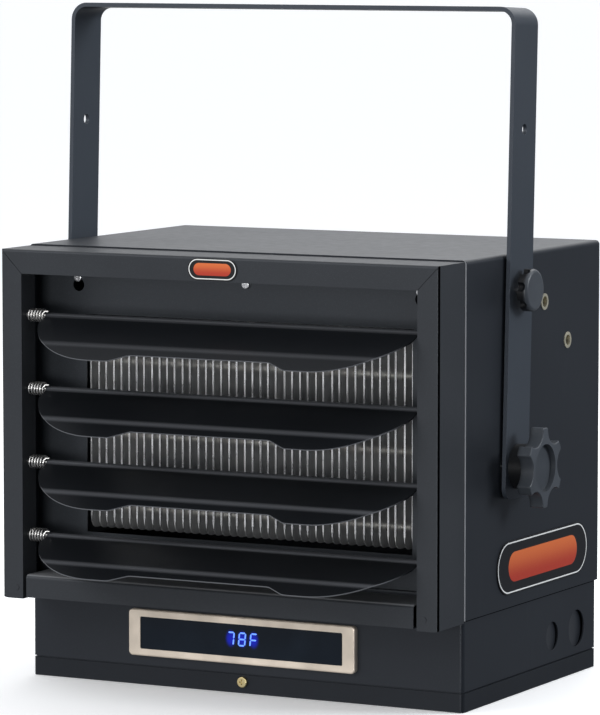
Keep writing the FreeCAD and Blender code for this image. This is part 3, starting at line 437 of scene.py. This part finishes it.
finishes = {
    cabinet_finish(): "cabinet_shell rear_panel base_box",
    tray_shaded_coat: "bottom_tray",
    frame_finish(): "front_frame frame_sill frame_rivets",
    inner_coat: "inner_baffle cabinet_deck fan_shroud motor_mount element_plate_left element_plate_right",
    **{louver_finish(k): f"louver_{k}" for k in range(1, 5)},
    bracket_coat: "mounting_bracket",
    spring_wire: "louver_rods",
    zinc: "baffle_screws rear_screws fan_nut motor_shaft pivot_washers star_stud_left star_stud_right "
          "lock_stud_left lock_stud_right board_standoffs",
    yellow_zinc: "tray_screws earth_screw",
    insert_plate: "side_inserts",
    sheath: "heating_element_1 heating_element_2 heating_element_3",
    ceramic: "element_insulators",
    motor_coat: "fan_motor",
    dark_plastic: "limit_switch terminal_block relays",
    core_iron: "transformer",
    board_green: "display_board control_board",
    window_finish(): "display_module display_window",
    bezel_paint: "display_bezel",
    star_plastic: "star_knob_left star_knob_right",
    lock_plastic: "lock_knob_left lock_knob_right",
    badge_finish("front_badge_face", "badge_front", along="X", line=0.0007): "badge_front",
    badge_finish("side_badge_face", "badge_side", along="Y", line=0.001): "badge_side",
}
soft_edges = {
    0.00035: "cabinet_shell base_box bottom_tray front_frame frame_sill mounting_bracket",
    0.0002: "louver_1 louver_2 louver_3 louver_4 badge_front badge_side",
    0.0003: "star_knob_left star_knob_right lock_knob_left lock_knob_right",
}


def ease_edges(obj, width):
    """Break the sharp edges of a carried-over node."""
    weld = obj.modifiers.new("weld", "WELD")
    weld.merge_threshold = 0.000002
    bevel = obj.modifiers.new("eased_edges", "BEVEL")
    bevel.width = width
    bevel.segments = 2
    bevel.limit_method = "ANGLE"
    bevel.angle_limit = math.radians(40)
    bevel.use_clamp_overlap = True
    flat = obj.modifiers.new("flat_faces", "WEIGHTED_NORMAL")
    flat.weight = 100
    flat.keep_sharp = True


def finish_nodes():
    for finish, names in finishes.items():
        for name in names.split():
            nodes[name].data.materials.clear()
            nodes[name].data.materials.append(finish.material)
    for width, names in soft_edges.items():
        for name in names.split():
            ease_edges(nodes[name], width)


# Geometry node trees

class Tree:
    """A geometry node tree with named number inputs."""

    def __init__(self, name, numbers):
        self.group = bpy.data.node_groups.new(name, "GeometryNodeTree")
        self.group.interface.new_socket("Geometry", in_out="INPUT", socket_type="NodeSocketGeometry")
        self.group.interface.new_socket("Geometry", in_out="OUTPUT", socket_type="NodeSocketGeometry")
        for label, value in numbers.items():
            kind = "NodeSocketInt" if isinstance(value, int) else "NodeSocketFloat"
            self.group.interface.new_socket(label, in_out="INPUT", socket_type=kind)
        self.numbers = numbers
        self.start = self.group.nodes.new("NodeGroupInput")
        self.end = self.group.nodes.new("NodeGroupOutput")

    def node(self, kind, settings=None, inputs=None):
        made = self.group.nodes.new(kind)
        for key, value in (settings or {}).items():
            setattr(made, key, value)
        for key, value in (inputs or {}).items():
            if isinstance(value, bpy.types.NodeSocket):
                self.group.links.new(value, made.inputs[key])
            else:
                made.inputs[key].default_value = value
        return made

    def shape(self, kind, **inputs):
        """First output of a geometry node, its inputs named with _ for a space."""
        named = {key.replace("_", " "): value for key, value in inputs.items()}
        return self.node("GeometryNode" + kind, None, named).outputs[0]

    def copy_of(self, obj):
        return self.node("GeometryNodeObjectInfo", None, {"Object": obj}).outputs["Geometry"]

    def index(self):
        return self.node("GeometryNodeInputIndex").outputs[0]

    def input(self, label):
        return self.start.outputs[label]

    def sum(self, operation, first, second):
        return self.node("ShaderNodeMath", {"operation": operation}, {0: first, 1: second}).outputs[0]

    def xyz(self, x=0.0, y=0.0, z=0.0):
        return self.node("ShaderNodeCombineXYZ", None, {0: x, 1: y, 2: z}).outputs[0]

    def around(self, count, item, turn):
        """Copies of an item at the origin, each turned about Z."""
        points = self.shape("Points", Count=count)
        return self.shape("InstanceOnPoints", Points=points, Instance=item, Rotation=self.xyz(z=turn))

    def close(self, geometry, finish):
        real = self.shape("RealizeInstances", Geometry=geometry)
        painted = self.shape("SetMaterial", Geometry=real, Material=finish.material)
        self.group.links.new(painted, self.end.inputs[0])

    def run(self, name, source):
        """Plain mesh object that the tree makes from source, which is removed."""
        modifier = source.modifiers.new("tree", "NODES")
        modifier.node_group = self.group
        for item in self.group.interface.items_tree:
            if item.in_out == "INPUT" and item.name in self.numbers:
                modifier[item.identifier] = self.numbers[item.name]
        shown = source.evaluated_get(bpy.context.evaluated_depsgraph_get())
        mesh = bpy.data.meshes.new_from_object(shown)
        mesh.name = name
        made = bpy.data.objects.new(name, mesh)
        scene.collection.objects.link(made)
        bpy.data.objects.remove(source)
        return made


def blank(name, vertices=(), edges=(), faces=()):
    mesh = bpy.data.meshes.new(name)
    mesh.from_pydata([tuple(v) for v in vertices], list(edges), list(faces))
    made = bpy.data.objects.new(name, mesh)
    scene.collection.objects.link(made)
    return made


def lone_point(name):
    """Object with one point, for a tree that needs no other geometry."""
    return blank(name, [(0, 0, 0)])


def add_plate(mesh, first, last):
    """A plate between two like outlines."""
    first = [mesh.verts.new(point) for point in first]
    last = [mesh.verts.new(point) for point in last]
    mesh.faces.new(last)
    mesh.faces.new(list(reversed(first)))
    for i in range(len(first)):
        after = (i + 1) % len(first)
        mesh.faces.new((first[i], first[after], last[after], last[i]))


def settle(mesh, obj):
    """Put a finished bmesh into an object."""
    mesh.to_mesh(obj.data)
    mesh.free()
    return obj


def smooth(obj, degrees=40):
    """Smooth faces, with creases past an angle."""
    mesh = obj.data
    mesh.polygons.foreach_set("use_smooth", [True] * len(mesh.polygons))
    mesh.set_sharp_from_angle(angle=math.radians(degrees))
    return obj


# Louvre springs

def spring_points(left, right, y, z):
    """Line of a spring's wire: a leg from the wall, its turns and a leg that rests above the blade's end."""
    coil = 0.0046
    turns = 5.6
    steps = 30
    wall_gap = 0.0028
    blade_gap = 0.0012
    first = left + wall_gap
    last = right - blade_gap
    start = math.radians(75)
    leg_turn = 0.45

    def point(x, angle):
        return x, y + coil * math.sin(angle), z + coil * math.cos(angle)

    count = round(turns * steps)
    points = [point(left + reach, start - leg_turn) for reach in (0.0, 0.0012)]
    for k in range(count + 1):
        points.append(point(first + (last - first) * k / count, start + math.tau * k / steps))
    end = start + math.tau * turns + leg_turn
    return points + [point(last + reach, end) for reach in (0.0014, 0.0044)]


def springs():
    tree = Tree("wound_wire", {"Wire radius": 0.0007, "Sides": 10})
    curve = tree.shape("MeshToCurve", Mesh=tree.input("Geometry"))
    ring = tree.shape("CurvePrimitiveCircle", Resolution=tree.input("Sides"),
                      Radius=tree.input("Wire radius"))
    tree.close(tree.shape("CurveToMesh", Curve=curve, Profile_Curve=ring, Fill_Caps=True), spring_wire)
    for k in range(1, 5):
        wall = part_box(f"louver_spring_{k}")[0].x
        blade_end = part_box(f"louver_{k}")[0].x
        rod = middle_of(f"louver_spring_{k}")
        points = spring_points(wall, blade_end, rod.y, rod.z)
        line = blank("spring_line", points, [(i, i + 1) for i in range(len(points) - 1)])
        spring = smooth(tree.run(f"wound_spring_{k}", line))
        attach(spring, "cabinet")
        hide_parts(f"louver_spring_{k}")


# Element fins

fin_thick = 0.0007


def fin_plate(low, high):
    """One fin at X = 0: a thin plate with round corners and a rolled front edge."""
    y0, y1, z0, z1 = low.y, high.y, low.z, high.z
    radius = 0.008
    corner_steps = 5
    hem_thick = 0.00125
    hem_deep = 0.0016
    outline = []
    for cy, cz, begin in ((y1 - radius, z1 - radius, 0), (y0 + radius, z1 - radius, 90),
                          (y0 + radius, z0 + radius, 180), (y1 - radius, z0 + radius, 270)):
        for step in range(corner_steps + 1):
            angle = math.radians(begin + 90 * step / corner_steps)
            outline.append((cy + radius * math.cos(angle), cz + radius * math.sin(angle)))
    mesh = bmesh.new()
    add_plate(mesh, *([(x, y, z) for y, z in outline] for x in (-fin_thick / 2, fin_thick / 2)))
    hem = bmesh.ops.create_cube(mesh, size=1.0)["verts"]
    bmesh.ops.scale(mesh, vec=(hem_thick, hem_deep, z1 - z0 - 2.4 * radius), verts=hem)
    bmesh.ops.translate(mesh, vec=(0, y0 + hem_deep / 2, (z0 + z1) / 2), verts=hem)
    bmesh.ops.recalc_face_normals(mesh, faces=mesh.faces[:])
    return settle(mesh, blank("fin_plate"))


def fins():
    low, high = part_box("element_fins")
    plate = fin_plate(low, high)
    count = 42
    straight = 37
    pitch = (high.x - low.x - fin_thick) / (count - 1)
    tree = Tree("row_of_fins", {"Count": count, "Pitch": pitch, "Lean": 0.022, "Bent": 0.05})
    length = tree.sum("MULTIPLY", tree.sum("SUBTRACT", tree.input("Count"), 1.0), tree.input("Pitch"))
    row = tree.node("GeometryNodeMeshLine", {"mode": "OFFSET"},
                    {"Count": tree.input("Count"), "Offset": tree.xyz(tree.input("Pitch")),
                     "Start Location": tree.xyz(tree.sum("MULTIPLY", length, -0.5))}).outputs[0]
    index = tree.index()

    def random_turn(label, seed):
        """From the named input's negative to itself; the node's sockets go by number."""
        most = tree.input(label)
        least = tree.sum("MULTIPLY", most, -1.0)
        return tree.node("FunctionNodeRandomValue", {"data_type": "FLOAT"},
                         {2: least, 3: most, "ID": index, "Seed": seed}).outputs[1]

    lean = random_turn("Lean", seed=5)
    knock = random_turn("Bent", seed=9)
    knocked = tree.sum("GREATER_THAN", index, straight - 0.5)
    turn = tree.sum("ADD", lean, tree.sum("MULTIPLY", knocked, knock))
    middle = Vector((0, (low.y + high.y) / 2, (low.z + high.z) / 2))
    plate.data.transform(Matrix.Translation(-middle))
    placed = tree.shape("InstanceOnPoints", Points=row, Instance=tree.copy_of(plate),
                        Rotation=tree.xyz(z=turn))
    tree.close(placed, fin_metal)
    made = smooth(tree.run("finned_block", lone_point("fin_row")), degrees=30)
    made.data.transform(Matrix.Translation(middle))
    bpy.data.objects.remove(plate)
    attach(made, "cabinet")
    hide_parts("element_fins")


# Rear guard

guard_wire = 0.0013
guard_spokes = 8
foot_thick = 0.0016
foot_reach = 0.0055
round_sides = 28


def guard_tree(radius):
    """Rings of wire, spokes over them and a disc in the middle, flat in XY."""
    spoke_lift = guard_wire * 1.6
    spoke_start = 0.7
    tree = Tree("guard_wires", {"Rings": 9, "Inner radius": 0.024, "Outer radius": radius,
                                "Wire radius": guard_wire, "Spokes": guard_spokes})
    inner = tree.input("Inner radius")
    outer = tree.input("Outer radius")
    last = tree.sum("SUBTRACT", tree.input("Rings"), 1.0)
    step = tree.sum("DIVIDE", tree.sum("SUBTRACT", outer, inner), last)
    index = tree.index()
    size = tree.sum("ADD", inner, tree.sum("MULTIPLY", index, step))
    circle = tree.shape("CurvePrimitiveCircle", Resolution=96, Radius=1.0)
    points = tree.shape("Points", Count=tree.input("Rings"))
    circles = tree.shape("InstanceOnPoints", Points=points, Instance=circle, Scale=tree.xyz(size, size, size))
    circles = tree.shape("RealizeInstances", Geometry=circles)
    ring = tree.shape("CurvePrimitiveCircle", Resolution=8, Radius=tree.input("Wire radius"))
    wires = tree.shape("CurveToMesh", Curve=circles, Profile_Curve=ring)
    spoke = tree.shape("CurvePrimitiveLine", End=tree.xyz(outer, 0.0, spoke_lift),
                       Start=tree.xyz(tree.sum("MULTIPLY", inner, spoke_start), 0.0, spoke_lift))
    spoke = tree.shape("CurveToMesh", Curve=spoke, Profile_Curve=ring, Fill_Caps=True)
    turn = tree.sum("MULTIPLY", index, math.tau / guard_spokes)
    spokes = tree.around(tree.input("Spokes"), spoke, turn)
    disc = tree.shape("MeshCylinder", Vertices=64, Radius=inner, Depth=spoke_lift)
    both = tree.node("GeometryNodeJoinGeometry")
    for part in (wires, spokes, disc):
        tree.group.links.new(part, both.inputs[0])
    tree.close(both.outputs[0], guard_coat)
    return tree


def add_rod(mesh, sides, radius, start, end):
    """A capped rod from one point to another."""
    way = Vector(end) - Vector(start)
    middle = Matrix.Translation((Vector(start) + Vector(end)) / 2)
    bmesh.ops.create_cone(mesh, cap_ends=True, segments=sides, radius1=radius, radius2=radius,
                          depth=way.length, matrix=middle @ way.to_track_quat("Z", "Y").to_matrix().to_4x4())


def guard_foot(radius, rise):
    """A foot of the guard: a round tab on the panel and a leg from it up to the outer ring."""
    mesh = bmesh.new()
    x = radius + foot_reach
    leg_x = radius + 0.004
    leg_sides = 12
    add_rod(mesh, round_sides, foot_reach, (x, 0, 0), (x, 0, foot_thick))
    add_rod(mesh, leg_sides, guard_wire, (leg_x, 0, foot_thick / 2), (radius, 0, rise))
    return mesh


def guard_screw(radius):
    """A foot's hexagon screw with its collar."""
    mesh = bmesh.new()
    x = radius + foot_reach
    collar_radius = 0.0043
    collar_top = foot_thick + 0.0006
    head_radius = 0.0034
    head_top = foot_thick + 0.0031
    hexagon = 6
    add_rod(mesh, round_sides, collar_radius, (x, 0, foot_thick), (x, 0, collar_top))
    add_rod(mesh, hexagon, head_radius, (x, 0, collar_top), (x, 0, head_top))
    return mesh


def fixing_ring(name, mesh, finish, place):
    """One fixing between each two spokes of the guard."""
    item = settle(mesh, blank(name + "_item"))
    step = math.tau / guard_spokes
    tree = Tree("ring_of_" + name, {"Count": guard_spokes, "First turn": step / 2})
    turn = tree.sum("ADD", tree.sum("MULTIPLY", tree.index(), step), tree.input("First turn"))
    tree.close(tree.around(tree.input("Count"), tree.copy_of(item), turn), finish)
    made = smooth(tree.run(name, lone_point(name + "_seed")))
    made.data.transform(place)
    bpy.data.objects.remove(item)
    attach(made, "cabinet")


def guard():
    low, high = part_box("rear_guard")
    middle = middle_of("rear_guard")
    radius = (high.x - low.x) / 2 - guard_wire
    plane = high.y - guard_wire
    quarter = math.radians(90)
    made = smooth(guard_tree(radius).run("guard_wires", lone_point("guard_seed")))
    face = Matrix.Translation((middle.x, plane, middle.z)) @ Matrix.Rotation(quarter, 4, "X")
    made.data.transform(face)
    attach(made, "cabinet")
    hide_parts("rear_guard")
    place = Matrix.Translation((middle.x, low.y, middle.z)) @ Matrix.Rotation(-quarter, 4, "X")
    fixing_ring("guard_feet", guard_foot(radius, plane - low.y), guard_coat, place)
    fixing_ring("guard_screws", guard_screw(radius), zinc, place)


# Fan

fan_count = 5
blade_steps = 12
hub_steps = 48


def add_blade(mesh, base, depth, point):
    """One cambered, twisted blade, as a sheet without thickness."""
    root = 0.021
    tip = 0.097
    root_wide = 50
    tip_wide = 42
    sweep = 0.25
    pitch = 1.55
    twist = 0.35
    camber = 0.3
    rows = []
    for i in range(blade_steps + 1):
        out = i / blade_steps
        width = math.radians(root_wide + (tip_wide - root_wide) * out)
        row = []
        for j in range(blade_steps + 1):
            across = j / blade_steps - 0.5
            angle = base + width * across + sweep * out ** 2
            lift = depth * (pitch * across * (1 - twist * out) + camber * (0.25 - across ** 2))
            row.append(mesh.verts.new(point(root + (tip - root) * out, angle, lift)))
        rows.append(row)
    for i in range(blade_steps):
        for j in range(blade_steps):
            mesh.faces.new((rows[i][j], rows[i + 1][j], rows[i + 1][j + 1], rows[i][j + 1]))


def add_hub(mesh, depth, point):
    """The turned hub, bored for the shaft."""
    bore = 0.0042
    wide = 0.024
    profile = ((bore, -1.0), (0.015, -1.0), (0.0175, -0.9), (wide, -0.45), (wide, 0.7), (0.0225, 1.0),
               (bore, 1.0))
    angles = [math.tau * k / hub_steps for k in range(hub_steps)]
    rings = [[mesh.verts.new(point(radius, angle, depth * share)) for angle in angles]
             for radius, share in profile]
    for a, b in zip(rings, rings[1:] + rings[:1]):
        for k in range(hub_steps):
            after = (k + 1) % hub_steps
            mesh.faces.new((a[k], a[after], b[after], b[k]))


def fan():
    """Hub and blades about the motor's shaft."""
    low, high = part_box("fan_blade")
    shaft = middle_of("motor_shaft")
    y = (low.y + high.y) / 2
    depth = (high.y - low.y) / 2

    def point(radius, angle, lift):
        return shaft.x + radius * math.cos(angle), y + lift, shaft.z + radius * math.sin(angle)

    mesh = bmesh.new()
    for k in range(fan_count):
        add_blade(mesh, math.tau * k / fan_count, depth, point)
    bmesh.ops.recalc_face_normals(mesh, faces=mesh.faces[:])
    blades = settle(mesh, blank("fan_blades"))
    sheet = blades.modifiers.new("sheet", "SOLIDIFY")
    sheet.thickness = 0.0014
    sheet.offset = 0.0
    solid = bpy.data.meshes.new_from_object(blades.evaluated_get(bpy.context.evaluated_depsgraph_get()))
    mesh = bmesh.new()
    mesh.from_mesh(solid)
    bpy.data.meshes.remove(solid)
    add_hub(mesh, depth, point)
    bmesh.ops.recalc_face_normals(mesh, faces=mesh.faces[:])
    settle(mesh, blades)
    blades.modifiers.clear()
    blades.data.materials.append(fan_metal.material)
    smooth(blades, degrees=35)
    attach(blades, "fan")
    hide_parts("fan_blade")


# Display figures

def display_figures():
    """Lit seven-segment figures just in front of the window."""
    lit = glow_finish("lit_segment", (0.11, 0.25, 1.0), (0.176, 0.4, 1.0), 1.6)
    tall = 0.0095
    wide = 0.0052
    bar = 0.00115
    gap = 0.00022
    lean = 0.1
    stand_off = 0.00012
    thick = 0.0001
    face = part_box("display_window")[0].y - stand_off
    segments = {"a": (0, 1, 1, 1), "b": (1, 0.5, 1, 1), "c": (1, 0, 1, 0.5), "d": (0, 0, 1, 0),
                "e": (0, 0, 0, 0.5), "f": (0, 0.5, 0, 1), "g": (0, 0.5, 1, 0.5)}
    shown = ("abc", "abcdefg", "aefg")
    mesh = bmesh.new()
    for k, names in enumerate(shown):
        left = figure_x + (k - 1) * figure_step - wide / 2
        for name in names:
            x0, z0, x1, z1 = segments[name]
            a = Vector((left + x0 * wide, figure_z + (z0 - 0.5) * tall))
            b = Vector((left + x1 * wide, figure_z + (z1 - 0.5) * tall))
            along = (b - a).normalized()
            side = Vector((-along.y, along.x)) * bar / 2
            a = a + along * gap
            b = b - along * gap
            nose = along * bar / 2
            ring = [a, a + nose + side, b - nose + side, b, b - nose - side, a + nose - side]
            slanted = [(p.x + lean * (p.y - figure_z), p.y) for p in ring]
            add_plate(mesh, *([(x, y, z) for x, z in slanted] for y in (face, face - thick)))
    bmesh.ops.recalc_face_normals(mesh, faces=mesh.faces[:])
    figures = settle(mesh, blank("display_figures"))
    figures.data.materials.append(lit.material)
    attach(figures, "cabinet")


# Stage, light and camera

def softbox(name, place, aim, size, power, color=(1.0, 1.0, 1.0)):
    light = bpy.data.lights.new(name, "AREA")
    light.shape = "RECTANGLE"
    light.size, light.size_y = size
    light.energy = power
    light.color = color
    obj = bpy.data.objects.new(name, light)
    obj.location = place
    obj.rotation_euler = (Vector(aim) - Vector(place)).to_track_quat("-Z", "Y").to_euler()
    scene.collection.objects.link(obj)


def pale_floor():
    far = 90.0
    drop = 0.0004
    corners = [(x * far, y * far, -drop) for x, y in ((-1, -1), (1, -1), (1, 1), (-1, 1))]
    floor = blank("floor", corners, (), [(0, 1, 2, 3)])
    pale = Finish("pale_floor", (0.95, 0.95, 0.95), 0.7, Specular_IOR_Level=0.1)
    pale.feed("Roughness", pale.noise(scale=3.0) * 0.1 + 0.65)
    pale.feed("Emission Color", (1.0, 1.0, 1.0, 1.0))
    pale.feed("Emission Strength", 0.17)
    floor.data.materials.append(pale.material)
    floor.visible_diffuse = False
    floor.visible_glossy = False


def pale_room():
    """White behind the part; round it a pale room, darker at the right and below."""
    world = bpy.data.worlds.new("pale_room")
    world.use_nodes = True
    room = Shading(world.node_tree, "Background")
    way = room.node("TexCoord").outputs["Generated"]
    height = room.part(way, "Z")
    right = room.part(way, "X").above(0.1, 0.3) * height.below(0.5, 0.3)
    under = height.below(-0.2, 0.2) * 0.7
    lit = room.mix(right, (0.95, 0.97, 1.0), (0.12, 0.14, 0.175))
    lit = room.mix(under, lit, (0.12, 0.126, 0.135))
    seen = room.node("LightPath").outputs["Is Camera Ray"]
    room.feed("Color", room.mix(seen, lit, (1.0, 1.0, 1.0)))
    scene.world = world
    scene.view_settings.view_transform = "Standard"


def studio():
    pale_floor()
    pale_room()
    softbox("key", place=(-1.7, -2.6, 1.9), aim=(0, 0, 0.25), size=(1.4, 1.2), power=34.0)
    softbox("side", place=(2.6, 1.2, 1.3), aim=(0.15, 0, 0.25), size=(1.1, 1.0), power=55.0,
            color=(0.92, 0.96, 1.0))
    softbox("top", place=(0.0, 1.7, 2.1), aim=(0, 0, 0.3), size=(2.4, 1.2), power=24.0)
    softbox("fill", place=(0.55, -2.9, 0.22), aim=(0, 0, 0.2), size=(0.9, 0.5), power=30.0)


def camera():
    """Camera of the photograph, from its focal length and middle in pixels."""
    wide, tall = 600.0, 715.0
    focal = 4454.44
    middle_x, middle_y = 301.584, 354.29
    pitch, turn = 84.4437, 27.7666
    lens = bpy.data.cameras.new("camera")
    lens.sensor_fit = "HORIZONTAL"
    lens.sensor_width = 36.0
    lens.lens = lens.sensor_width * focal / wide
    lens.shift_x = (wide / 2 - middle_x) / wide
    lens.shift_y = (middle_y - tall / 2) / wide
    lens.clip_end = 60.0
    obj = bpy.data.objects.new("camera", lens)
    obj.location = (1.58782, -3.03993, 0.5806)
    obj.rotation_euler = Euler((math.radians(pitch), 0.0, math.radians(turn)))
    scene.collection.objects.link(obj)
    scene.camera = obj


camera()
studio()
finish_nodes()
springs()
fins()
guard()
fan()
display_figures()
bpy.context.view_layer.update()
